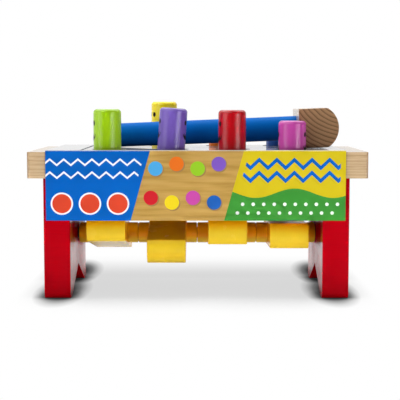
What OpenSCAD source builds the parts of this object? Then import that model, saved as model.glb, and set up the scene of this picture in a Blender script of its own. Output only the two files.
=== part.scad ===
// Peg pounding bench.
// A wooden bench holds eight pegs in two rows; each front and rear pair stands over one rocker on a cross axle.
// Units are millimetres. X runs along the bench, Y away from the viewer, Z up, with the floor at Z = 0.

/* [Bench top] */
// Length of the board along X
top_length = 292; // [270:1:320]
// Depth of the board along Y
top_depth = 128; // [122:1:150]
// Thickness of the board
top_thick = 22.5; // [20:0.5:26]
// Height of the upper face above the floor
top_height = 127; // [124:0.5:130]
// Radius of the four upright corners
top_corner = 3; // [1:0.5:6]
// Diameter of the peg holes
hole_d = 27; // [26.6:0.1:27.4]

/* [Legs] */
// Thickness of each leg along X
leg_thick = 22.8; // [20:0.2:26]
// Depth of each leg along Y
leg_depth = 120; // [112:1:122]
// Clear span between the two legs
leg_span = 217.7; // [217:0.1:219]
// Offset of the legs and rockers from the middle of the board
leg_shift = -1.1; // [-2:0.1:2]
// Height of the V cut at its apex
notch_height = 22; // [14:1:26]
// Width of the V cut at the floor
notch_width = 98; // [70:1:104]
// Radius of the rounded edge of each foot
foot_round = 4; // [2:0.5:6]
// Diameter of the joining dowels
dowel_d = 8; // [6:0.5:10]

/* [Axle and rockers] */
// Height of the axle above the floor
axle_height = 50.5; // [50:0.25:51]
// Diameter of the axle rod
axle_d = 10; // [8:0.5:11]
// Depth of the blind hole in each leg
axle_seat = 14; // [10:1:18]
// Centre distance between neighbouring rockers
rocker_pitch = 53.8; // [53.4:0.1:54]
// Shift of the four rockers along the axle
rocker_shift = 0.5; // [-0.7:0.1:0.7]
// Offset of the first rocker's paddles on their hub
first_offset = 0.9; // [0:0.1:1.5]
// Diameter of the rocker hub
hub_d = 18.6; // [17:0.2:20]
// Chamfer at each end of the hub
hub_chamfer = 0.8; // [0.4:0.2:2]
// Width of the paddles along X
paddle_width = 34; // [28:1:40]
// Reach of each paddle from the axle
paddle_reach = 50; // [48:0.5:54]
// Thickness of the paddles
paddle_thick = 22; // [20:0.5:23]
// Radius of the bowed paddle ends
paddle_nose = 15; // [13:0.5:24]

/* [Rocker tilt] */
// Tilt of the first rocker, front end up
tilt_1 = 11; // [8:0.5:13]
// Tilt of the second rocker, front end up
tilt_2 = -15; // [-17:0.5:-13]
// Tilt of the third rocker, front end up
tilt_3 = 7.5; // [4:0.5:9]
// Tilt of the fourth rocker, front end up
tilt_4 = 3; // [1:0.5:4]

/* [Pegs] */
// Diameter of the peg shaft
peg_d = 24.2; // [22:0.2:24.4]
// Overall length of a peg
peg_length = 88; // [86:0.5:88]
// Diameter of the wider foot below the board
foot_d = 29; // [28.2:0.2:29.6]
// Length of the wider foot
foot_length = 17; // [15.5:0.1:17.2]
// Radius of the rounded top edge
peg_round = 3.2; // [1:0.2:5]
// Distance of each row from the middle of the board
row_y = 40; // [38:0.5:42]
// Shift of the front row along X
front_shift = 2.6; // [1:0.2:3]
// Shift of the rear row along X
rear_shift = -4; // [-5:0.2:0]
// Lean of the purple peg to the right
purple_lean = 4.2; // [0:0.2:4.4]

/* [Peg heights above the board] */
// Green peg
green_up = 36.5; // [33:0.1:42]
// Purple peg
purple_up = 37.5; // [30:0.5:42]
// Red peg
red_up = 35.7; // [32:0.1:40]
// Pink peg
pink_up = 26.4; // [26.2:0.1:30]
// Light blue peg
light_blue_up = 17.5; // [17:0.1:22]
// Yellow peg
yellow_up = 43.2; // [40:0.1:46]
// Orange peg
orange_up = 20; // [20:0.1:26]
// Blue peg
blue_up = 22.5; // [22:0.1:28]

/* [Mallet] */
// Length of the head along Y
head_length = 61; // [50:1:62]
// Width of the head from its flat side to its rounded side
head_width = 35.4; // [33:0.2:37]
// Height of the head
head_height = 35; // [33:0.5:38]
// Radius of the rounded side
head_round = 20.6; // [19:0.2:24]
// Place of the flat side along X
head_x = 90.5; // [90:0.5:94]
// Place of the mallet across the board
mallet_y = 3; // [2:0.5:4]
// Diameter of the handle at its free end
handle_d = 21.4; // [19:0.2:22]
// Diameter of the handle where it meets the head
handle_neck_d = 22; // [22:0.2:25]
// Free length of the handle
handle_length = 170; // [165:0.5:186]
// Diameter of the tenon in the head
tenon_d = 14; // [12:0.5:16]
// Length of the tenon in the head
tenon_length = 24; // [18:1:28]

/* [Card sleeve] */
// Left end of the sleeve along X
sleeve_left = -129.8; // [-134:0.1:-126]
// Right end of the sleeve along X
sleeve_right = 126.4; // [124:0.1:134]
// Height of the lower edge above the floor
sleeve_low = 68.4; // [66:0.2:74]
// Thickness of the card
card_thick = 1.2; // [0.8:0.1:1.6]
// Diameter of the cut-outs round the pegs
cutout_d = 31; // [31:0.2:33]

/* [Hidden] */
under_z = top_height - top_thick;
leg_half = leg_span / 2;
leg_mid = leg_half + leg_thick / 2;
dowel_y = leg_depth / 2 - 17;
dowel_down = 20;
dowel_up = 14;
dowel_gap = 0.05;
axle_gap = 0.05;
hub_length = rocker_pitch - 0.3;
card_gap = 0.4;
sleeve_top = top_height + card_gap + card_thick;
sleeve_y = top_depth / 2 + card_gap + card_thick;
fold_round = 1.5;
handle_round = 3;
mallet_tilt = atan((head_height - handle_d) / 2 / handle_length);
slots = [for (i = [0:3]) (i - 1.5) * rocker_pitch];
front_x = [for (x = slots) x + front_shift];
rear_x = [for (x = slots) x + rear_shift];
slit_x = rear_x[0] - cutout_d / 2 + 0.8;

// Rectangle with true round corners, centred on the origin
module rounded_plate(w, d, r) {
  square([w - 2 * r, d], center = true);
  square([w, d - 2 * r], center = true);
  for (sx = [-1, 1])
    for (sy = [-1, 1])
      translate([sx * (w / 2 - r), sy * (d / 2 - r)])
        circle(r = r, $fn = 24);
}

// Board with eight through holes and four blind dowel holes
module bench_top() {
  color([0.80, 0.68, 0.50])
  difference() {
    translate([0, 0, under_z])
      linear_extrude(top_thick)
        rounded_plate(top_length, top_depth, top_corner);
    for (x = front_x)
      translate([x, -row_y, under_z - 1])
        cylinder(d = hole_d, h = top_thick + 2, $fn = 40);
    for (x = rear_x)
      translate([x, row_y, under_z - 1])
        cylinder(d = hole_d, h = top_thick + 2, $fn = 40);
    for (sx = [-1, 1])
      for (sy = [-1, 1])
        translate([leg_shift + sx * leg_mid, sy * dowel_y, under_z - 1])
          cylinder(d = dowel_d + 2 * dowel_gap, h = dowel_up + 1, $fn = 20);
  }
}

// Side outline of a leg: rounded feet with a V cut between them
module leg_outline() {
  difference() {
    union() {
      translate([-leg_depth / 2, foot_round])
        square([leg_depth, under_z - foot_round]);
      translate([-leg_depth / 2 + foot_round, 0])
        square([leg_depth - 2 * foot_round, under_z]);
      for (s = [-1, 1])
        translate([s * (leg_depth / 2 - foot_round), foot_round])
          circle(r = foot_round, $fn = 24);
    }
    polygon([[-notch_width / 2, 0], [0, notch_height], [notch_width / 2, 0],
             [notch_width / 2, -1], [-notch_width / 2, -1]]);
  }
}

// One leg with its axle seat and dowel holes, placed by its inner face
module leg(side) {
  color([0.70, 0.02, 0.06])
  difference() {
    translate([leg_shift + side * leg_mid - leg_thick / 2, 0, 0])
      rotate([90, 0, 90])
        linear_extrude(leg_thick)
          leg_outline();
    translate([leg_shift + side * (leg_half + axle_seat), 0, axle_height])
      rotate([0, -side * 90, 0])
        cylinder(d = axle_d + 2 * axle_gap, h = axle_seat + 1, $fn = 32);
    for (sy = [-1, 1])
      translate([leg_shift + side * leg_mid, sy * dowel_y, under_z - dowel_down])
        cylinder(d = dowel_d + 2 * dowel_gap, h = dowel_down + 1, $fn = 20);
  }
}

module leg_left() {
  leg(-1);
}

module leg_right() {
  leg(1);
}

// Joining dowel, half in the leg and half in the board
module dowel(sx, sy) {
  color([0.82, 0.70, 0.52])
  translate([leg_shift + sx * leg_mid, sy * dowel_y, under_z - dowel_down])
    cylinder(d = dowel_d, h = dowel_down + dowel_up, $fn = 20);
}

module dowel_left_front() {
  dowel(-1, -1);
}

module dowel_left_rear() {
  dowel(-1, 1);
}

module dowel_right_front() {
  dowel(1, -1);
}

module dowel_right_rear() {
  dowel(1, 1);
}

// Rod through all four hubs, seated in both legs
module axle_rod() {
  color([0.78, 0.66, 0.48])
  translate([leg_shift - leg_half - axle_seat, 0, axle_height])
    rotate([0, 90, 0])
      cylinder(d = axle_d, h = leg_span + 2 * axle_seat, $fn = 32);
}

// Side outline of the paddles: a flat bar whose ends are bowed
module paddle_outline() {
  bow_x = paddle_reach - paddle_nose;
  square([2 * bow_x, paddle_thick], center = true);
  for (s = [-1, 1])
    intersection() {
      translate([s * bow_x, 0])
        circle(r = paddle_nose, $fn = 72);
      square([2 * paddle_reach + 2, paddle_thick], center = true);
    }
}

// Hub with a chamfer at each end, along Z
module hub() {
  cylinder(d1 = hub_d - 2 * hub_chamfer, d2 = hub_d, h = hub_chamfer, $fn = 40);
  translate([0, 0, hub_chamfer])
    cylinder(d = hub_d, h = hub_length - 2 * hub_chamfer, $fn = 40);
  translate([0, 0, hub_length - hub_chamfer])
    cylinder(d1 = hub_d, d2 = hub_d - 2 * hub_chamfer, h = hub_chamfer, $fn = 40);
}

// One rocker on the axle at place x, its front end raised by the tilt
module rocker(x, tilt, offset = 0) {
  color([0.91, 0.73, 0.12])
  translate([leg_shift + rocker_shift + x, 0, axle_height])
    rotate([-tilt, 0, 0])
      difference() {
        union() {
          translate([-hub_length / 2, 0, 0])
            rotate([0, 90, 0])
              hub();
          translate([offset - paddle_width / 2, 0, 0])
            rotate([90, 0, 90])
              linear_extrude(paddle_width)
                paddle_outline();
        }
        translate([-hub_length, 0, 0])
          rotate([0, 90, 0])
            cylinder(d = axle_d + 2 * axle_gap, h = 2 * hub_length, $fn = 32);
      }
}

module rocker_1() {
  rocker(slots[0], tilt_1, first_offset);
}

module rocker_2() {
  rocker(slots[1], tilt_2);
}

module rocker_3() {
  rocker(slots[2], tilt_3);
}

module rocker_4() {
  rocker(slots[3], tilt_4);
}

// Half outline of a peg: domed foot, shoulder, shaft and rounded top edge
module peg_outline() {
  intersection() {
    translate([0, foot_d / 2])
      circle(d = foot_d, $fn = 28);
    square([foot_d, foot_d / 2]);
  }
  translate([0, foot_d / 2])
    square([foot_d / 2, foot_length - foot_d / 2]);
  translate([0, foot_length])
    square([peg_d / 2, peg_length - foot_length - peg_round]);
  translate([0, foot_length])
    square([peg_d / 2 - peg_round, peg_length - foot_length]);
  translate([peg_d / 2 - peg_round, peg_length - peg_round])
    circle(r = peg_round, $fn = 20);
}

// One peg standing in its hole at x, y with its top face up above the board
module peg(x, y, up, tint, lean = 0) {
  color(tint)
  translate([x, y, top_height - top_thick / 2])
    rotate([0, lean, 0])
      translate([0, 0, up + top_thick / 2 - peg_length])
        rotate_extrude($fn = 28)
          peg_outline();
}

module peg_green() {
  peg(front_x[0] - 0.8, -row_y, green_up, [0.59, 0.78, 0.08]);
}

module peg_purple() {
  peg(front_x[1] + 0.5, -row_y, purple_up, [0.45, 0.31, 0.71], purple_lean);
}

module peg_red() {
  peg(front_x[2] + 0.6, -row_y, red_up, [0.75, 0.06, 0.14]);
}

module peg_pink() {
  peg(front_x[3] - 0.7, -row_y, pink_up, [0.77, 0.25, 0.63]);
}

module peg_light_blue() {
  peg(rear_x[0], row_y, light_blue_up, [0.25, 0.65, 0.88]);
}

module peg_yellow() {
  peg(rear_x[1] - 1, row_y, yellow_up, [0.92, 0.86, 0.12]);
}

module peg_orange() {
  peg(rear_x[2] - 0.6, row_y, orange_up, [0.95, 0.48, 0.08]);
}

module peg_blue() {
  peg(rear_x[3], row_y, blue_up, [0.05, 0.30, 0.62]);
}

// Moves the mallet from its own frame to its resting place on the sleeve
module lay_mallet() {
  translate([head_x, mallet_y, sleeve_top + 0.02])
    rotate([0, -mallet_tilt, 0])
      children();
}

// End outline of the head: flat on the left, rounded on the right
module head_outline() {
  square([head_width - head_round, head_height]);
  intersection() {
    translate([head_width - head_round, head_height / 2])
      circle(r = head_round, $fn = 64);
    translate([head_width - head_round - 1, 0])
      square([head_round + 2, head_height]);
  }
}

// Mallet head with the blind hole for the handle
module mallet_head() {
  color([0.74, 0.60, 0.42])
  lay_mallet()
    difference() {
      translate([0, head_length / 2, 0])
        rotate([90, 0, 0])
          linear_extrude(head_length)
            head_outline();
      translate([-1, 0, head_height / 2])
        rotate([0, 90, 0])
          cylinder(d = tenon_d + 0.1, h = tenon_length + 1, $fn = 32);
    }
}

// Half outline of the handle: rounded free end, slow taper to the neck, then the tenon
module handle_outline() {
  polygon([[0, handle_round], [handle_d / 2, handle_round], [handle_neck_d / 2, handle_length], [0, handle_length]]);
  square([handle_d / 2 - handle_round, handle_round]);
  intersection() {
    translate([handle_d / 2 - handle_round, handle_round])
      circle(r = handle_round, $fn = 24);
    square([handle_d, handle_round]);
  }
  translate([0, handle_length])
    square([tenon_d / 2, tenon_length]);
}

// Round handle with a tenon into the head
module mallet_handle() {
  color([0.02, 0.30, 0.62])
  lay_mallet()
    translate([-handle_length, 0, head_height / 2])
      rotate([0, 90, 0])
        rotate_extrude($fn = 40)
          handle_outline();
}

// End outline of the sleeve: an inverted U with rounded folds
module sleeve_outline() {
  difference() {
    union() {
      translate([-sleeve_y, sleeve_low])
        square([2 * sleeve_y, sleeve_top - sleeve_low - fold_round]);
      translate([-sleeve_y + fold_round, sleeve_low])
        square([2 * (sleeve_y - fold_round), sleeve_top - sleeve_low]);
      for (s = [-1, 1])
        translate([s * (sleeve_y - fold_round), sleeve_top - fold_round])
          circle(r = fold_round, $fn = 24);
    }
    translate([-sleeve_y + card_thick, sleeve_low - 1])
      square([2 * (sleeve_y - card_thick), sleeve_top - sleeve_low - card_thick + 1]);
  }
}

// Card saddle with a cut-out round every peg and one slit that runs back into a rear cut-out
module card_sleeve() {
  color([0.10, 0.40, 0.78])
  difference() {
    translate([sleeve_left, 0, 0])
      rotate([90, 0, 90])
        linear_extrude(sleeve_right - sleeve_left)
          sleeve_outline();
    for (x = front_x)
      translate([x + 1, -row_y, top_height - 1])
        cylinder(d = cutout_d, h = 5, $fn = 40);
    for (x = rear_x)
      translate([x, row_y, top_height - 1])
        cylinder(d = cutout_d, h = 5, $fn = 40);
    translate([slit_x - 1, -sleeve_y + 3, top_height - 1])
      cube([2, sleeve_y + row_y - 3, 5]);
  }
}

bench_top();
leg_left();
leg_right();
dowel_left_front();
dowel_left_rear();
dowel_right_front();
dowel_right_rear();
axle_rod();
rocker_1();
rocker_2();
rocker_3();
rocker_4();
peg_green();
peg_purple();
peg_red();
peg_pink();
peg_light_blue();
peg_yellow();
peg_orange();
peg_blue();
mallet_head();
mallet_handle();
card_sleeve();
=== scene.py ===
import bmesh
import bpy
import math
from mathutils import Matrix, Vector


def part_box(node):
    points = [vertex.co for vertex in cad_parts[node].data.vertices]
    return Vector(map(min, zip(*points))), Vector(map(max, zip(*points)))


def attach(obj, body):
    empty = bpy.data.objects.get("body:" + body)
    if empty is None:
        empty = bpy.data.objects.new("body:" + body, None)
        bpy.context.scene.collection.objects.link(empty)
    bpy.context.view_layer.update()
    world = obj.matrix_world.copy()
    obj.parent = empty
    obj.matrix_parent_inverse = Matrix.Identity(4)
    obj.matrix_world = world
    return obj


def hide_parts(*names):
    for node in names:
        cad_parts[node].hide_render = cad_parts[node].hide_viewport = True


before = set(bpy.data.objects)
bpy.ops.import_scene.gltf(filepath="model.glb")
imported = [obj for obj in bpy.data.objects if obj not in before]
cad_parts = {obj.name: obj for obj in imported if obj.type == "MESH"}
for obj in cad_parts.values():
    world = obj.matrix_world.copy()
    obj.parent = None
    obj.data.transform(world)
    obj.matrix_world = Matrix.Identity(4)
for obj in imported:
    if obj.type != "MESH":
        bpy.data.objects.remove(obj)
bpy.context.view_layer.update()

# Board: one plank of pale plain-sawn softwood, planed and sanded, with its long grain along the bench.
# Eight holes are bored through it for the pegs, and every edge and hole rim is eased by hand.
BOARD_EASE = 0.0011
EASE_STEPS = 4
ARRIS_ANGLE = math.radians(28)
CREASE_ANGLE = math.radians(32)
MILLIMETRES = (1000, 1000, 1000)
CLEAR = (1.0, 1.0, 1.0)


def sanded_copy(part, name, ease, steps, leave=None):
    wood = bmesh.new()
    wood.from_mesh(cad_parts[part].data)
    bmesh.ops.remove_doubles(wood, verts=wood.verts, dist=0.000002)
    bmesh.ops.dissolve_limit(wood, angle_limit=math.radians(0.6), verts=wood.verts, edges=wood.edges)
    joined = [edge for edge in wood.edges if len(edge.link_faces) == 2]
    arrises = [edge for edge in joined if edge.calc_face_angle(0.0) > ARRIS_ANGLE]
    if leave:
        arrises = [edge for edge in arrises if not all(leave(corner.co) for corner in edge.verts)]
    bmesh.ops.bevel(
        wood,
        geom=arrises,
        offset=ease,
        offset_type="OFFSET",
        segments=steps,
        profile=0.5,
        affect="EDGES",
        clamp_overlap=True,
        material=-1,
    )
    return finish_piece(wood, name)


def finish_piece(shape, name):
    mesh = bpy.data.meshes.new(name)
    shape.to_mesh(mesh)
    shape.free()
    mesh.shade_smooth()
    mesh.set_sharp_from_angle(angle=CREASE_ANGLE)
    piece = bpy.data.objects.new(name, mesh)
    bpy.context.scene.collection.objects.link(piece)
    flats = piece.modifiers.new("flat_faces", "WEIGHTED_NORMAL")
    flats.keep_sharp = True
    return piece


def dress(piece, finish):
    piece.data.materials.clear()
    piece.data.materials.append(finish)


def new_finish(name, roughness, gloss):
    finish = bpy.data.materials.new(name)
    finish.use_nodes = True
    tree = finish.node_tree
    surface = tree.nodes["Principled BSDF"]
    surface.inputs["Roughness"].default_value = roughness
    surface.inputs["Specular IOR Level"].default_value = gloss
    return finish, tree, surface


def add(tree, kind, inputs=None, **settings):
    made = tree.nodes.new("ShaderNode" + kind)
    for key, value in settings.items():
        setattr(made, key, value)
    for key, value in (inputs or {}).items():
        if isinstance(value, bpy.types.NodeSocket):
            tree.links.new(value, made.inputs[key])
        else:
            made.inputs[key].default_value = value
    return made


def reckon(tree, operation, first, second=0.0):
    return add(tree, "Math", {0: first, 1: second}, operation=operation).outputs[0]


def shifted(tree, operation, first, second):
    return add(tree, "VectorMath", {0: first, 1: second}, operation=operation).outputs["Vector"]


def noise(tree, place, scale, detail, roughness=0.5):
    speckle = {"Vector": place, "Scale": scale, "Detail": detail, "Roughness": roughness}
    return add(tree, "TexNoise", speckle).outputs["Fac"]


def fade(tree, value, low, high, first=0.0, last=1.0):
    span = {"Value": value, "From Min": low, "From Max": high, "To Min": first, "To Max": last}
    return add(tree, "MapRange", span).outputs["Result"]


def grey(level):
    return (level, level, level)


def shades(tree, value, stops):
    ramp = add(tree, "ValToRGB", {0: value})
    bar = ramp.color_ramp
    while len(bar.elements) < len(stops):
        bar.elements.new(0.5)
    for mark, (place, colour) in zip(bar.elements, stops):
        mark.position = place
        mark.color = (*colour, 1.0)
    return ramp.outputs["Color"]


def tinted(tree, base, tint):
    layers = {"Factor": 1.0, "A": base, "B": tint}
    return add(tree, "Mix", layers, data_type="RGBA", blend_type="MULTIPLY").outputs["Result"]


def paint_over(tree, base, colour, mask):
    layers = {"Factor": mask, "A": base, "B": colour}
    return add(tree, "Mix", layers, data_type="RGBA").outputs["Result"]


def between(tree, mask, first, last):
    return add(tree, "Mix", {"Factor": mask, "A": first, "B": last}, data_type="FLOAT").outputs["Result"]


def facing(tree):
    return add(tree, "SeparateXYZ", {0: add(tree, "TexCoord").outputs["Normal"]}).outputs


def open_air(tree, reach):
    return add(tree, "AmbientOcclusion", {"Distance": reach}, samples=16).outputs["AO"]


# Wood with growth rings about a pith: ring is their width in millimetres and late the place of the mid tone
# in each. Flank is the paler tone of sealed side faces, partly painted light; ends is the darker tone of
# sawn ends, partly painted shade; and tight gaps can be darkened as a painted shade.
def timber(
    name,
    pale,
    mid,
    dark,
    pith,
    turn,
    ring,
    stretch,
    late=0.78,
    shine=0.5,
    gloss=0.25,
    sway=22.0,
    flank=None,
    ends=None,
    painted_gap_shade=False,
):
    finish, tree, surface = new_finish(name, shine, gloss)
    place = add(tree, "TexCoord").outputs["Object"]
    log = add(
        tree,
        "Mapping",
        {"Vector": place, "Location": pith, "Rotation": turn, "Scale": MILLIMETRES},
    ).outputs[0]
    along = add(tree, "Mapping", {"Vector": log, "Scale": (stretch, 1.0, 1.0)}).outputs[0]
    drift = add(tree, "TexNoise", {"Vector": along, "Scale": 0.035, "Detail": 2.0}).outputs["Color"]
    wander = shifted(tree, "SUBTRACT", drift, (0.5, 0.5, 0.5))
    swayed = shifted(tree, "MULTIPLY", wander, (0.0, sway, sway))
    grown = shifted(tree, "ADD", along, swayed)
    rings = add(
        tree,
        "TexWave",
        {"Vector": grown, "Scale": 0.314 / ring, "Distortion": 0.9, "Detail": 2.0, "Detail Scale": 0.3},
        wave_type="RINGS",
        rings_direction="X",
        wave_profile="SAW",
    ).outputs["Fac"]
    strands = add(tree, "Mapping", {"Vector": log, "Scale": (0.045, 1.0, 1.0)}).outputs[0]
    fibre = noise(tree, strands, 1.5, 5.0, 0.7)
    patch = noise(tree, along, 0.05, 3.0)
    colour = shades(tree, rings, [(0.0, pale), (0.45, pale), (late, mid), (0.96, dark), (1.0, pale)])
    rough = fade(tree, fibre, 0.0, 1.0, shine * 1.3, shine * 0.85)
    # Side faces take a paler tone, partly side grain and partly painted light on faces turned to the lamps.
    if flank:
        end_on = reckon(tree, "ABSOLUTE", facing(tree)["Y"])
        side_on = fade(tree, end_on, 0.35, 0.7, 1.0, 0.0)
        colour = paint_over(tree, colour, (*flank, 1.0), side_on)
        rough = between(tree, side_on, rough, 0.12)
        tree.links.new(between(tree, side_on, gloss, 0.6), surface.inputs["Specular IOR Level"])
    fibre_tone = shades(tree, fibre, [(0.28, (0.80, 0.74, 0.66)), (0.55, CLEAR), (0.8, (1.06, 1.05, 1.03))])
    patch_tone = shades(tree, patch, [(0.3, (0.94, 0.92, 0.89)), (0.7, (1.04, 1.03, 1.02))])
    colour = tinted(tree, tinted(tree, colour, fibre_tone), patch_tone)
    # Faces across the grain take a darker tone, partly end grain and partly painted shade on the rounded
    # ends.
    if ends:
        end_on = reckon(tree, "ABSOLUTE", facing(tree)["X"])
        colour = tinted(tree, colour, shades(tree, end_on, [(0.2, CLEAR), (0.85, ends)]))
        planed = fade(tree, facing(tree)["Z"], 0.5, 0.9, 0.05, gloss)
        tree.links.new(planed, surface.inputs["Specular IOR Level"])
    # Tight gaps and hole walls are darkened by how closed in they are: a painted shade.
    if painted_gap_shade:
        gap_shade_tone = shades(tree, open_air(tree, 0.004), [(0.3, grey(0.03)), (0.75, grey(0.9)), (0.9, CLEAR)])
        colour = tinted(tree, colour, gap_shade_tone)
    tree.links.new(colour, surface.inputs["Base Color"])
    tree.links.new(rough, surface.inputs["Roughness"])
    relief = reckon(tree, "ADD", fibre, reckon(tree, "MULTIPLY", rings, 0.25))
    bump = add(tree, "Bump", {"Height": relief, "Strength": 0.5 * shine, "Distance": 0.00025})
    tree.links.new(bump.outputs["Normal"], surface.inputs["Normal"])
    return finish


# Its ends are darker partly as painted shade, and its holes and gaps are darkened as painted shade.
board_wood = timber(
    "board_pine",
    pale=(0.56, 0.415, 0.260),
    mid=(0.52, 0.375, 0.220),
    dark=(0.42, 0.285, 0.150),
    pith=(0.0, -14.0, 30.0),
    turn=(0.02, 0.0, 0.0),
    ring=3.0,
    stretch=0.03,
    shine=0.08,
    gloss=0.5,
    ends=(0.60, 0.52, 0.46),
    painted_gap_shade=True,
)
board = sanded_copy("bench_top", "board", BOARD_EASE, EASE_STEPS)
dress(board, board_wood)
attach(board, "bench")
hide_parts("bench_top")

# Dowels: four short birch pins that join the legs to the board.
# Each is glued half into a leg and half into the board, and is hidden once the bench is together.
dowel_wood = timber(
    "dowel_birch",
    pale=(0.74, 0.60, 0.41),
    mid=(0.70, 0.55, 0.36),
    dark=(0.60, 0.45, 0.28),
    pith=(0.0, 0.0, 0.0),
    turn=(0.0, math.radians(90), 0.0),
    ring=2.2,
    stretch=0.03,
)
for pin in ("dowel_left_front", "dowel_left_rear", "dowel_right_front", "dowel_right_rear"):
    dress(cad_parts[pin], dowel_wood)

# Legs: two upright boards with a V cut that leaves two feet, glued under the ends of the top.
# They are sprayed with red enamel, which leaves a satin skin with a faint ripple over the sanded grain.
LEG_EASE = 0.0016


# Paint over sanded wood. Near neighbours can dim its gloss, a painted shade on the reflection, and can turn
# its colour to a tint, a painted shade in sheltered places; open_below leaves faces that look down out of
# it.
def enamel(
    name,
    colour,
    grain,
    shine,
    ripple,
    gloss,
    streaks,
    reflection_shade_reach=None,
    painted_shade_tint=None,
    painted_shade_reach=0.07,
    open_below=False,
):
    finish, tree, surface = new_finish(name, shine, gloss)
    place = add(tree, "TexCoord").outputs["Object"]
    skin = add(tree, "Mapping", {"Vector": place, "Scale": MILLIMETRES}).outputs[0]
    under = add(tree, "Mapping", {"Vector": skin, "Scale": grain}).outputs[0]
    cloud = noise(tree, skin, 0.045, 3.0)
    streak = noise(tree, under, 0.9, 4.0, 0.6)
    peel = noise(tree, skin, 0.95, 2.0)
    deep = tuple(0.94 * level for level in colour)
    full = tuple(min(1.0, 1.03 * level) for level in colour)
    tone = shades(tree, cloud, [(0.3, deep), (0.7, full)])
    # Gloss is dimmed where neighbours stand close: a painted shade on the reflection.
    if reflection_shade_reach:
        broad = reckon(tree, "ABSOLUTE", facing(tree)["X"])
        sealed = fade(tree, broad, 0.3, 0.7, 0.15, 1.0)
        lit = fade(tree, open_air(tree, reflection_shade_reach), 0.36, 0.50, 0.0, gloss)
        tree.links.new(reckon(tree, "MULTIPLY", lit, sealed), surface.inputs["Specular IOR Level"])
    # Painted shade: the colour turns to the given tint where neighbours stand close.
    if painted_shade_tint:
        painted_shade_amount = fade(tree, open_air(tree, painted_shade_reach), 0.30, 0.75, 1.0, 0.0)
        if open_below:
            painted_shade_amount = reckon(tree, "MULTIPLY", painted_shade_amount, fade(tree, facing(tree)["Z"], -0.6, -0.2))
        tone = paint_over(tree, tone, (*painted_shade_tint, 1.0), painted_shade_amount)
    faint = grey(1.0 - 0.1 * streaks)
    tone = tinted(tree, tone, shades(tree, streak, [(0.3, faint), (0.6, CLEAR)]))
    tree.links.new(tone, surface.inputs["Base Color"])
    rough = fade(tree, cloud, 0.3, 0.7, shine - 0.05, shine + 0.07)
    tree.links.new(rough, surface.inputs["Roughness"])
    relief = reckon(tree, "ADD", peel, reckon(tree, "MULTIPLY", streak, streaks))
    bump = add(tree, "Bump", {"Height": relief, "Strength": ripple, "Distance": 0.0004})
    tree.links.new(bump.outputs["Normal"], surface.inputs["Normal"])
    return finish


# Its gloss is dimmed where the hem and hubs stand close: a painted shade on the reflection.
leg_red = enamel(
    "red_enamel",
    colour=(0.318, 0.0003, 0.0040),
    grain=(0.06, 0.06, 1.0),
    shine=0.14,
    ripple=0.10,
    gloss=0.13,
    streaks=1.0,
    reflection_shade_reach=0.06,
)
for side in ("left", "right"):
    leg = sanded_copy("leg_" + side, "leg_board_" + side, LEG_EASE, EASE_STEPS)
    dress(leg, leg_red)
    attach(leg, "bench")
    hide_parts("leg_" + side)

# Axle: one straight birch rod through all four hubs, on which the rockers turn.
# Its ends are pushed into a blind hole in each leg, and the wood is left bare.
AXLE_HEIGHT = 0.0505
axle_wood = timber(
    "axle_birch",
    pale=(0.72, 0.58, 0.39),
    mid=(0.68, 0.53, 0.34),
    dark=(0.58, 0.43, 0.26),
    pith=(0.0, 0.0, -AXLE_HEIGHT * 1000),
    turn=(0.0, 0.0, 0.0),
    ring=1.9,
    stretch=0.03,
    painted_gap_shade=True,
)
dress(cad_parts["axle_rod"], axle_wood)

# Rockers: four hardwood see-saws, each a turned hub with a flat paddle to the front and to the rear.
# The bowed paddle ends meet the pegs; edges are sanded and the whole piece is dipped in yellow enamel.
HUB_RADIUS = 0.0093
HUB_MARGIN = 0.0004
ROCKER_EASE = 0.0008
ROCKER_STEPS = 3


def on_hub(spot):
    return math.hypot(spot.y, spot.z - AXLE_HEIGHT) < HUB_RADIUS + HUB_MARGIN


# The yellow turns deeper orange where neighbours stand close, round the hubs and under the board: a painted
# shade.
rocker_yellow = enamel(
    "yellow_enamel",
    colour=(0.845, 0.582, 0.025),
    grain=(1.0, 0.06, 1.0),
    shine=0.22,
    ripple=0.04,
    gloss=0.18,
    streaks=0.03,
    painted_shade_tint=(1.0, 0.43, 0.0),
    open_below=True,
)
for number in range(1, 5):
    rocker = sanded_copy("rocker_%d" % number, "see_saw_%d" % number, ROCKER_EASE, ROCKER_STEPS, on_hub)
    dress(rocker, rocker_yellow)
    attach(rocker, "rocker_%d" % number)
    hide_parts("rocker_%d" % number)

# Pegs: eight turned hardwood pegs. Each has a domed foot wider than its hole, so it can't be pulled out.
# Every peg has its own enamel colour, a softly rounded top and a small smiling face stamped on two sides.
# The purple one is stuck high in its hole and leans.
PEG_RADIUS = 0.0121
PEG_LENGTH = 0.088
PEG_TURNS = 72
FOOT_RADIUS = 0.0145
FOOT_LENGTH = 0.017
FOOT_FLAT = 0.0003
SHOULDER_EASE = 0.0005
TOP_ROUND = 0.0032
EYE_RADIUS = 0.0020
EYE_STRETCH = 1.05
EYE_SPREAD = 0.0040
EYE_DROP = 0.0120
SMILE_DROP = 0.0200
SMILE_INSIDE = 0.0040
SMILE_OUTSIDE = 0.0073
SMILE_ARC = 156
INK_LIFT = 0.00006
INK_THICK = 0.0002
INK_DEEP = (0.006, 0.005, 0.005)
INK_WORN = (0.014, 0.012, 0.011)
PURPLE_LEAN = 4.2
PURPLE_HOLE = (-0.0243, -0.040, 0.11575)
PURPLE_ABOVE_HOLE = 0.0375 + 0.01125


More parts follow.
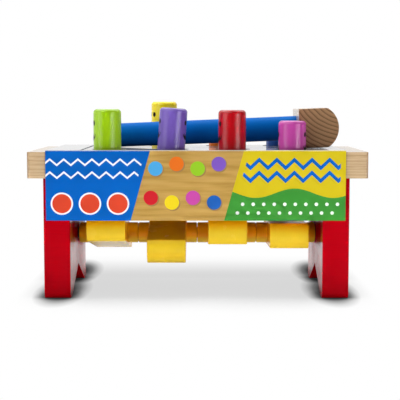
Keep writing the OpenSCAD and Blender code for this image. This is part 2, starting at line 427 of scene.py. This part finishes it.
def turned(outline, turns):
    work = bmesh.new()
    corners = [work.verts.new((radius, 0.0, height)) for radius, height in outline]
    for low, high in zip(corners, corners[1:]):
        work.edges.new((low, high))
    bmesh.ops.spin(
        work,
        geom=work.verts[:] + work.edges[:],
        cent=(0, 0, 0),
        axis=(0, 0, 1),
        angle=math.tau,
        steps=turns,
        use_merge=True,
    )
    bmesh.ops.remove_doubles(work, verts=work.verts, dist=0.000001)
    bmesh.ops.recalc_face_normals(work, faces=work.faces)
    return work


def round_ring(work, radius, height, ease, steps):
    def on_ring(spot):
        return abs(spot.z - height) < 1e-6 and abs(math.hypot(spot.x, spot.y) - radius) < 1e-5

    bmesh.ops.bevel(
        work,
        geom=[edge for edge in work.edges if all(on_ring(corner.co) for corner in edge.verts)],
        offset=ease,
        offset_type="OFFSET",
        segments=steps,
        profile=0.5,
        affect="EDGES",
        clamp_overlap=False,
        material=-1,
    )


def peg_shape():
    work = turned(
        [
            (0.0, 0.0),
            (FOOT_RADIUS, 0.0),
            (FOOT_RADIUS, FOOT_LENGTH),
            (PEG_RADIUS, FOOT_LENGTH),
            (PEG_RADIUS, PEG_LENGTH),
            (0.0, PEG_LENGTH),
        ],
        PEG_TURNS,
    )
    round_ring(work, PEG_RADIUS, PEG_LENGTH, TOP_ROUND, 7)
    round_ring(work, FOOT_RADIUS, 0.0, FOOT_RADIUS - FOOT_FLAT, 14)
    round_ring(work, FOOT_RADIUS, FOOT_LENGTH, SHOULDER_EASE, 2)
    return work


def peg_face():
    work = bmesh.new()
    for across in (-EYE_SPREAD, EYE_SPREAD):
        eye = bmesh.ops.create_circle(work, cap_ends=True, cap_tris=True, segments=20, radius=EYE_RADIUS)
        bmesh.ops.scale(work, verts=eye["verts"], vec=(1.0, EYE_STRETCH, 1.0))
        bmesh.ops.translate(work, verts=eye["verts"], vec=(across, -EYE_DROP, 0.0))
    chin = (0.0, -SMILE_DROP, 0.0)
    stroke = [work.verts.new((0.0, -SMILE_DROP - reach, 0.0)) for reach in (SMILE_INSIDE, SMILE_OUTSIDE)]
    edge = work.edges.new(stroke)
    start = Matrix.Rotation(math.radians(-SMILE_ARC / 2), 3, "Z")
    bmesh.ops.rotate(work, verts=stroke, cent=chin, matrix=start)
    bmesh.ops.spin(
        work,
        geom=stroke + [edge],
        cent=chin,
        axis=(0, 0, 1),
        angle=math.radians(SMILE_ARC),
        steps=22,
    )
    bmesh.ops.remove_doubles(work, verts=work.verts, dist=0.000001)
    bmesh.ops.recalc_face_normals(work, faces=work.faces)
    out = PEG_RADIUS + INK_LIFT
    for corner in work.verts:
        around = corner.co.x / PEG_RADIUS
        corner.co = Vector((out * math.cos(around), out * math.sin(around), PEG_LENGTH + corner.co.y))
    for side in work.faces:
        if side.normal.dot(side.calc_center_median() * Vector((1, 1, 0))) < 0:
            side.normal_flip()
    bmesh.ops.solidify(work, geom=work.faces[:], thickness=INK_THICK)
    bmesh.ops.recalc_face_normals(work, faces=work.faces)
    return work


face_ink, ink_tree, ink_surface = new_finish("face_ink", 0.5, 0.05)
ink_grain = noise(ink_tree, add(ink_tree, "TexCoord").outputs["Object"], 1800.0, 2.0)
ink_tone = shades(ink_tree, ink_grain, [(0.35, INK_DEEP), (0.75, INK_WORN)])
ink_tree.links.new(ink_tone, ink_surface.inputs["Base Color"])

# Each peg's paint, and the two bearings in degrees that its faces look to.
PEGS = {
    "green": ((0.300, 0.525, 0.0045), 184, 26),
    "purple": ((0.140, 0.080, 0.375), 183, 356),
    "red": ((0.390, 0.0020, 0.0060), 189, 16),
    "pink": ((0.480, 0.058, 0.320), 169, 350),
    "light_blue": ((0.060, 0.330, 0.640), 178, 358),
    "yellow": ((0.940, 0.720, 0.012), 202, 22),
    "orange": ((0.830, 0.170, 0.006), 168, 348),
    "blue": ((0.006, 0.075, 0.320), 186, 6),
}
for colour, (paint, left, right) in PEGS.items():
    peg_paint = enamel(
        "peg_enamel_" + colour,
        colour=paint,
        grain=(1.0, 1.0, 0.05),
        shine=0.15,
        ripple=0.55,
        gloss=0.48,
        streaks=0.0,
    )
    if colour == "purple":
        stand = (
            Matrix.Translation(PURPLE_HOLE)
            @ Matrix.Rotation(math.radians(PURPLE_LEAN), 4, "Y")
            @ Matrix.Translation((0.0, 0.0, PURPLE_ABOVE_HOLE - PEG_LENGTH))
        )
    else:
        low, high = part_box("peg_" + colour)
        middle = (low + high) / 2
        stand = Matrix.Translation((middle.x, middle.y, low.z))
    work = peg_shape()
    bmesh.ops.transform(work, matrix=stand, verts=work.verts)
    peg = finish_piece(work, "turned_peg_" + colour)
    dress(peg, peg_paint)
    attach(peg, "peg_" + colour)
    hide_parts("peg_" + colour)
    for turn in (left, right):
        work = peg_face()
        turned_to = stand @ Matrix.Rotation(math.radians(turn), 4, "Z")
        bmesh.ops.transform(work, matrix=turned_to, verts=work.verts)
        smile = finish_piece(work, "peg_face_%s_%d" % (colour, turn))
        dress(smile, face_ink)
        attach(smile, "peg_" + colour)

# Card sleeve: one die-cut sheet of coated card, creased along the board's long edges and slipped over it.
# It has a hole round every peg and a tuck slit; the outside is printed, with a varnished grey top.
# The inside is bare card. All sizes in this section are in millimetres.
SLEEVE_TOP = 128.6
SLEEVE_SIDE = 65.6
SLEEVE_LOW = 68.4
SKIN = 0.35
FOLD = 128.45
HEM_CREASE = 3.9
PRINT_BLUE = (0.0002, 0.0874, 0.3794, 1.0)
PRINT_YELLOW = (0.585, 0.455, 0.011, 1.0)
PRINT_GREEN = (0.028, 0.177, 0.022, 1.0)
PRINT_RED = (0.560, 0.050, 0.020, 1.0)
PRINT_WHITE = (0.830, 0.830, 0.830, 1.0)
PRINT_SHADE = (0.27, 0.165, 0.06, 1.0)
TOP_GREY = (0.50, 0.50, 0.505, 1.0)
TAN_GRAIN = [(0.35, (0.343, 0.200, 0.044)), (0.55, (0.440, 0.268, 0.069)), (0.75, (0.48, 0.306, 0.088))]
FIELD_SLANT = 0.28
FIELD_MIDDLE = 98.0
BLUE_EDGE = -49.0
YELLOW_EDGE = 31.0
BLUE_MARGIN = 4.0
YELLOW_MARGIN = 5.0
RIGHT_END = 122.0
HILL_TOP = 92.0
SPOT_RADIUS = 6.2
SPOT_SHADE_RADIUS = 6.4
SPOT_SHADE_SHIFT = 0.9
SPOTS = (
    (-36, 113, (0.06, 0.33, 0.64, 1.0)),
    (-18, 117, (0.62, 0.13, 0.012, 1.0)),
    (0, 113, (0.25, 0.50, 0.02, 1.0)),
    (18, 117, (0.17, 0.08, 0.42, 1.0)),
    (-40, 88, (0.47, 0.012, 0.02, 1.0)),
    (-22, 84, (0.77, 0.60, 0.015, 1.0)),
    (-4, 88, (0.48, 0.06, 0.32, 1.0)),
    (14, 84, (0.01, 0.08, 0.32, 1.0)),
)
BADGE_HEIGHT = 83.0
BADGE_RADIUS = 8.2
BADGE_RIM = 9.6
DOT_PITCH = 9.0
DOT_RADIUS = 1.5

card, card_tree, card_surface = new_finish("printed_card", 0.27, 0.2)
card_place = add(card_tree, "TexCoord").outputs["Object"]
spot = add(card_tree, "Mapping", {"Vector": card_place, "Scale": MILLIMETRES}).outputs[0]
across, deep_in, height = add(card_tree, "SeparateXYZ", {0: spot}).outputs


def measured(tree, operation, first, second=(0.0, 0.0, 0.0)):
    return add(tree, "VectorMath", {0: first, 1: second}, operation=operation).outputs["Value"]


def sized(operation, first, second=0.0):
    return reckon(card_tree, operation, first, second)


def inked(base, ink, mask):
    return paint_over(card_tree, base, ink, mask)


def over(value, limit):
    return sized("GREATER_THAN", value, limit)


def less(value, limit):
    return sized("LESS_THAN", value, limit)


def disc(x, z, radius):
    flat = add(card_tree, "CombineXYZ", {"X": across, "Z": height}).outputs[0]
    return less(measured(card_tree, "DISTANCE", flat, (x, 0.0, z)), radius)


def zigzag(field, level, stroke, pitch, tall):
    rise = sized("MULTIPLY", sized("PINGPONG", across, pitch / 2), 2 * tall / pitch)
    wave = sized("SUBTRACT", height, rise)
    line = sized("MULTIPLY", over(wave, level), less(wave, level + stroke))
    return sized("MULTIPLY", field, line)


slant = sized("MULTIPLY", sized("SUBTRACT", height, FIELD_MIDDLE), FIELD_SLANT)
field_edge = sized("SUBTRACT", across, slant)
swell = sized("MULTIPLY", sized("SINE", sized("MULTIPLY", across, 0.095)), 4.0)
hill = less(sized("SUBTRACT", height, swell), HILL_TOP)
grain_place = add(card_tree, "Mapping", {"Vector": spot, "Scale": (0.02, 1.0, 0.22)}).outputs[0]
picture = shades(card_tree, noise(card_tree, grain_place, 1.1, 3.0), TAN_GRAIN)
picture = inked(picture, PRINT_BLUE, less(field_edge, BLUE_EDGE))
right_field = over(field_edge, YELLOW_EDGE)
picture = inked(picture, PRINT_YELLOW, right_field)
picture = inked(picture, PRINT_GREEN, sized("MULTIPLY", right_field, hill))
for x, z, ink in SPOTS:
    shade = disc(x + SPOT_SHADE_SHIFT, z - SPOT_SHADE_SHIFT, SPOT_SHADE_RADIUS)
    picture = inked(picture, PRINT_SHADE, shade)
    picture = inked(picture, ink, disc(x, z, SPOT_RADIUS))
for x in (-116, -92, -68):
    picture = inked(picture, PRINT_WHITE, disc(x, BADGE_HEIGHT, BADGE_RIM))
    picture = inked(picture, PRINT_RED, disc(x, BADGE_HEIGHT, BADGE_RADIUS))
on_blue = less(field_edge, BLUE_EDGE - BLUE_MARGIN)
for level in (104.0, 115.0):
    picture = inked(picture, PRINT_WHITE, zigzag(on_blue, level, 1.9, 12.0, 5.0))
on_right = sized("MULTIPLY", over(field_edge, YELLOW_EDGE + YELLOW_MARGIN), less(across, RIGHT_END))
for level in (100.5, 111.5):
    picture = inked(picture, PRINT_BLUE, zigzag(on_right, level, 4.0, 15.0, 7.0))
for row, start in ((75.0, 0.0), (82.5, DOT_PITCH / 2)):
    step = sized("PINGPONG", sized("ADD", across, 200.0 + start), DOT_PITCH / 2)
    flat = add(card_tree, "CombineXYZ", {"X": step, "Z": height}).outputs[0]
    dot = less(measured(card_tree, "DISTANCE", flat, (0.0, 0.0, row)), DOT_RADIUS)
    picture = inked(picture, PRINT_WHITE, sized("MULTIPLY", on_right, dot))
picture = inked(TOP_GREY, picture, less(height, FOLD))

upper_skin = over(height, SLEEVE_TOP - SKIN)
side_skin = over(sized("ABSOLUTE", deep_in), SLEEVE_SIDE - SKIN)
outside = sized("MAXIMUM", upper_skin, side_skin)
pulp = noise(card_tree, spot, 1.6, 4.0)
bare_card = shades(card_tree, pulp, [(0.3, (0.76, 0.74, 0.71)), (0.7, (0.82, 0.80, 0.77))])
mottle = shades(card_tree, pulp, [(0.3, grey(0.97)), (0.7, grey(1.02))])
# Painted shade: the card darkens where the mallet, pegs and slit walls stand close.
contact_shade = shades(card_tree, open_air(card_tree, 0.005), [(0.30, grey(0.02)), (0.75, CLEAR)])
card_tone = tinted(card_tree, inked(bare_card, picture, outside), mottle)
card_tree.links.new(tinted(card_tree, card_tone, contact_shade), card_surface.inputs["Base Color"])
varnish = sized("MULTIPLY", outside, over(height, FOLD))
card_tree.links.new(between(card_tree, varnish, 0.45, 0.03), card_surface.inputs["Roughness"])
card_tree.links.new(between(card_tree, varnish, 0.05, 0.6), card_surface.inputs["Specular IOR Level"])
hem = sized("ABSOLUTE", sized("SUBTRACT", height, SLEEVE_LOW + HEM_CREASE))
crease = fade(card_tree, hem, 0.0, 0.7, -0.5, 0.0)
buckle = noise(card_tree, spot, 0.02, 1.0)
relief = sized("ADD", sized("MULTIPLY", pulp, 0.12), sized("MULTIPLY", buckle, 2.0))
relief = sized("MULTIPLY", relief, sized("SUBTRACT", 1.0, varnish))
relief = sized("ADD", crease, relief)
card_bump = add(card_tree, "Bump", {"Height": relief, "Strength": 0.35, "Distance": 0.0004})
card_tree.links.new(card_bump.outputs["Normal"], card_surface.inputs["Normal"])
dress(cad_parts["card_sleeve"], card)

# Mallet head: a block of brown hardwood sawn across the grain, so growth rings show on both striking ends.
# One side is flat, where the handle enters, and the other is rounded; edges are sanded and left unpainted.
HEAD_EASE = 0.0013
# Its side faces are paler, partly side grain and partly painted light.
head_wood = timber(
    "mallet_beech",
    pale=(0.345, 0.198, 0.098),
    mid=(0.262, 0.146, 0.069),
    dark=(0.092, 0.044, 0.019),
    pith=(0.0, -133.0, -190.0),
    turn=(0.0, 0.0, math.radians(90)),
    ring=3.7,
    stretch=0.05,
    late=0.7,
    shine=0.55,
    sway=5.0,
    flank=(0.62, 0.50, 0.37),
)
head = sanded_copy("mallet_head", "hammer_block", HEAD_EASE, EASE_STEPS)
dress(head, head_wood)
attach(head, "mallet")
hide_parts("mallet_head")

# Mallet handle: a turned dowel that thickens slowly towards the head and ends in a tenon glued into it.
# It is dipped in blue enamel, and its rounded free end rests on the card.
HEAD_HEIGHT = 0.035
HANDLE_LENGTH = 0.170
HANDLE_END = 0.0107
HANDLE_NECK = 0.0110
HANDLE_ROUND = 0.003
HANDLE_TURNS = 80
TENON_RADIUS = 0.007
TENON_LENGTH = 0.024
MALLET_PLACE = (0.0905, 0.003, SLEEVE_TOP / 1000 + 0.00002)
# The blue darkens where the card, pegs and head stand close: a painted shade.
handle_blue = enamel(
    "blue_enamel",
    colour=(0.0003, 0.122, 0.470),
    grain=(0.05, 1.0, 1.0),
    shine=0.50,
    ripple=0.05,
    gloss=0.03,
    streaks=0.15,
    painted_shade_tint=(0.0001, 0.062, 0.262),
    painted_shade_reach=0.036,
)
work = turned(
    [
        (0.0, 0.0),
        (HANDLE_END, 0.0),
        (HANDLE_NECK, HANDLE_LENGTH),
        (TENON_RADIUS, HANDLE_LENGTH),
        (TENON_RADIUS, HANDLE_LENGTH + TENON_LENGTH),
        (0.0, HANDLE_LENGTH + TENON_LENGTH),
    ],
    HANDLE_TURNS,
)
round_ring(work, HANDLE_END, 0.0, HANDLE_ROUND, 6)
tip = math.atan((HEAD_HEIGHT - 2 * HANDLE_END) / 2 / HANDLE_LENGTH)
lie = (
    Matrix.Translation(MALLET_PLACE)
    @ Matrix.Rotation(-tip, 4, "Y")
    @ Matrix.Translation((-HANDLE_LENGTH, 0.0, HEAD_HEIGHT / 2))
    @ Matrix.Rotation(math.radians(90), 4, "Y")
)
bmesh.ops.transform(work, matrix=lie, verts=work.verts)
handle = finish_piece(work, "hammer_handle")
dress(handle, handle_blue)
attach(handle, "mallet")
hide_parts("mallet_handle")

# Studio: a white floor under soft lamps from above, the front and both sides, seen at table height.
# The soft shadow under the bench and the dark shadow pools at its feet are painted into the floor's colour.
SHADE_MIDDLE = 0.0011
SHADE_END = 0.136
SHADE_GONE = 0.158
REAR_SHADE = [
    (0.0, CLEAR),
    (0.050, grey(0.69)),
    (0.068, grey(0.69)),
    (0.088, grey(0.72)),
    (0.170, grey(0.965)),
    (0.205, CLEAR),
]
FOOT_SHADOW_TONES = [(0.35, grey(0.07)), (0.55, grey(0.25)), (0.8, grey(0.74)), (1.0, CLEAR)]
FOOT_SHADOW_FROM_MIDDLE = 0.12025
FOOT_SHADOW_HALF_WIDTH = 0.026
FOOT_SHADOWS = ((-0.020, 0.085), (0.088, 0.090))
floor_mesh = bmesh.new()
bmesh.ops.create_grid(floor_mesh, x_segments=1, y_segments=1, size=6.0)
bmesh.ops.translate(floor_mesh, verts=floor_mesh.verts, vec=(0.0, 0.0, -0.0001))
floor = finish_piece(floor_mesh, "studio_floor")
floor_white, tree, surface = new_finish("studio_white", 0.6, 0.0)
dress(floor, floor_white)
surface.inputs["Base Color"].default_value = (0.92, 0.92, 0.92, 1.0)
floor_place = add(tree, "SeparateXYZ", {0: add(tree, "TexCoord").outputs["Object"]}).outputs
from_middle = reckon(tree, "ABSOLUTE", reckon(tree, "ADD", floor_place["X"], SHADE_MIDDLE))
to_rear = floor_place["Y"]
leaning = {"Distance": 0.12, "Normal": (0.0, -0.36, 0.93)}
soft = add(tree, "AmbientOcclusion", leaning, samples=16).outputs["AO"]
soft_shadow = shades(tree, soft, [(0.25, grey(0.68)), (0.50, grey(0.70)), (0.84, CLEAR)])
rear_shadow = shades(tree, to_rear, REAR_SHADE)
darker = {"Factor": 1.0, "A": soft_shadow, "B": rear_shadow}
shadow = add(tree, "Mix", darker, data_type="RGBA", blend_type="DARKEN").outputs["Result"]
shadow = paint_over(tree, shadow, (*CLEAR, 1.0), fade(tree, from_middle, SHADE_END, SHADE_GONE))
# Painted contact shadow where the feet and other parts stand close to the floor.
contact_shadow = shades(tree, open_air(tree, 0.012), [(0.35, grey(0.15)), (0.66, grey(0.50)), (1.0, CLEAR)])
shadow = tinted(tree, shadow, contact_shadow)
# Painted shadow pools at the feet, each a soft dark ellipse.
beside = reckon(tree, "DIVIDE", reckon(tree, "SUBTRACT", from_middle, FOOT_SHADOW_FROM_MIDDLE), FOOT_SHADOW_HALF_WIDTH)
for foot_shadow_y, foot_shadow_reach in FOOT_SHADOWS:
    along = reckon(tree, "DIVIDE", reckon(tree, "SUBTRACT", to_rear, foot_shadow_y), foot_shadow_reach)
    offset = add(tree, "CombineXYZ", {"X": beside, "Y": along}).outputs[0]
    foot_shadow = shades(tree, measured(tree, "LENGTH", offset), FOOT_SHADOW_TONES)
    shadow = tinted(tree, shadow, foot_shadow)
# For camera and glossy rays the floor shows its painted shadow as its own glow, and in front of the bench
# it is black in reflections: a painted dark reflection.
ray = add(tree, "LightPath").outputs
glow_level = reckon(tree, "MAXIMUM", ray["Is Camera Ray"], fade(tree, to_rear, -0.12, -0.05))
glow = add(tree, "Emission", {"Color": shadow, "Strength": glow_level})
seen = reckon(tree, "MAXIMUM", ray["Is Camera Ray"], ray["Is Glossy Ray"])
shown = add(tree, "MixShader", {0: seen, 1: surface.outputs[0], 2: glow.outputs[0]})
tree.links.new(shown.outputs[0], tree.nodes["Material Output"].inputs["Surface"])

world = bpy.data.worlds.new("studio")
bpy.context.scene.world = world
world.use_nodes = True
tree = world.node_tree
sky = tree.nodes["Background"]
sky.inputs["Color"].default_value = (1.0, 1.0, 1.0, 1.0)
ray = add(tree, "LightPath").outputs
way = add(tree, "TexCoord").outputs["Generated"]
sweep = fade(tree, measured(tree, "DOT_PRODUCT", way, (-0.5, 0.85, 0.0)), -0.2, 0.5, 0.04, 0.60)
mirrored = reckon(tree, "ADD", 1.0, reckon(tree, "MULTIPLY", ray["Is Glossy Ray"], 0.4))
seen = reckon(tree, "MAXIMUM", ray["Is Camera Ray"], ray["Is Transmission Ray"])
sky_level = reckon(tree, "MAXIMUM", seen, reckon(tree, "MULTIPLY", sweep, mirrored))
tree.links.new(sky_level, sky.inputs["Strength"])


def lamp(name, place, aim, wide, tall, power, spread=180):
    light = bpy.data.lights.new(name, "AREA")
    light.shape = "RECTANGLE"
    light.size = wide
    light.size_y = tall
    light.energy = power
    light.spread = math.radians(spread)
    holder = bpy.data.objects.new(name, light)
    bpy.context.scene.collection.objects.link(holder)
    holder.location = place
    holder.rotation_euler = (Vector(aim) - Vector(place)).to_track_quat("-Z", "Y").to_euler()


lamp("overhead_lamp", (0.0, 0.40, 1.25), (0.0, 0.02, 0.10), 2.2, 1.2, 29.0)
lamp("front_lamp", (-0.65, -0.90, 1.10), (0.0, 0.0, 0.06), 1.2, 0.5, 6.8)
lamp("floor_lamp", (0.0, -0.20, 0.8), (0.0, -0.199, 0.0), 0.4, 0.05, 3.4, 16)
lamp("right_lamp", (0.881, -0.739, 0.22), (0.0, 0.0, 0.20), 0.60, 0.50, 0.95)
lamp("left_lamp", (-0.98, -0.61, 0.64), (0.0, 0.0, 0.55), 0.60, 0.90, 2.5)
lamp("right_low_lamp", (0.81, -0.81, 0.035), (0.0, 0.0, 0.05), 0.60, 0.05, 2.2)
lamp("left_low_lamp", (-1.0, -0.58, 0.035), (0.0, 0.0, 0.05), 0.70, 0.05, 1.5)

FRAME_PIXELS = 400
FOCAL_PIXELS = 1056.0
HORIZON = 105.0
CENTRE = 201.2
EYE_POINT = (0.00307, -0.964, 0.167)
camera = bpy.data.cameras.new("camera")
camera.sensor_width = 36.0
camera.lens = FOCAL_PIXELS / FRAME_PIXELS * camera.sensor_width
viewer = bpy.data.objects.new("camera", camera)
bpy.context.scene.collection.objects.link(viewer)
viewer.location = EYE_POINT
viewer.rotation_euler = (
    math.pi / 2 - math.atan((FRAME_PIXELS / 2 - HORIZON) / FOCAL_PIXELS),
    0.0,
    math.atan((CENTRE - FRAME_PIXELS / 2) / FOCAL_PIXELS),
)
bpy.context.scene.camera = viewer
bpy.context.scene.view_settings.view_transform = "Standard"

bpy.context.view_layer.update()
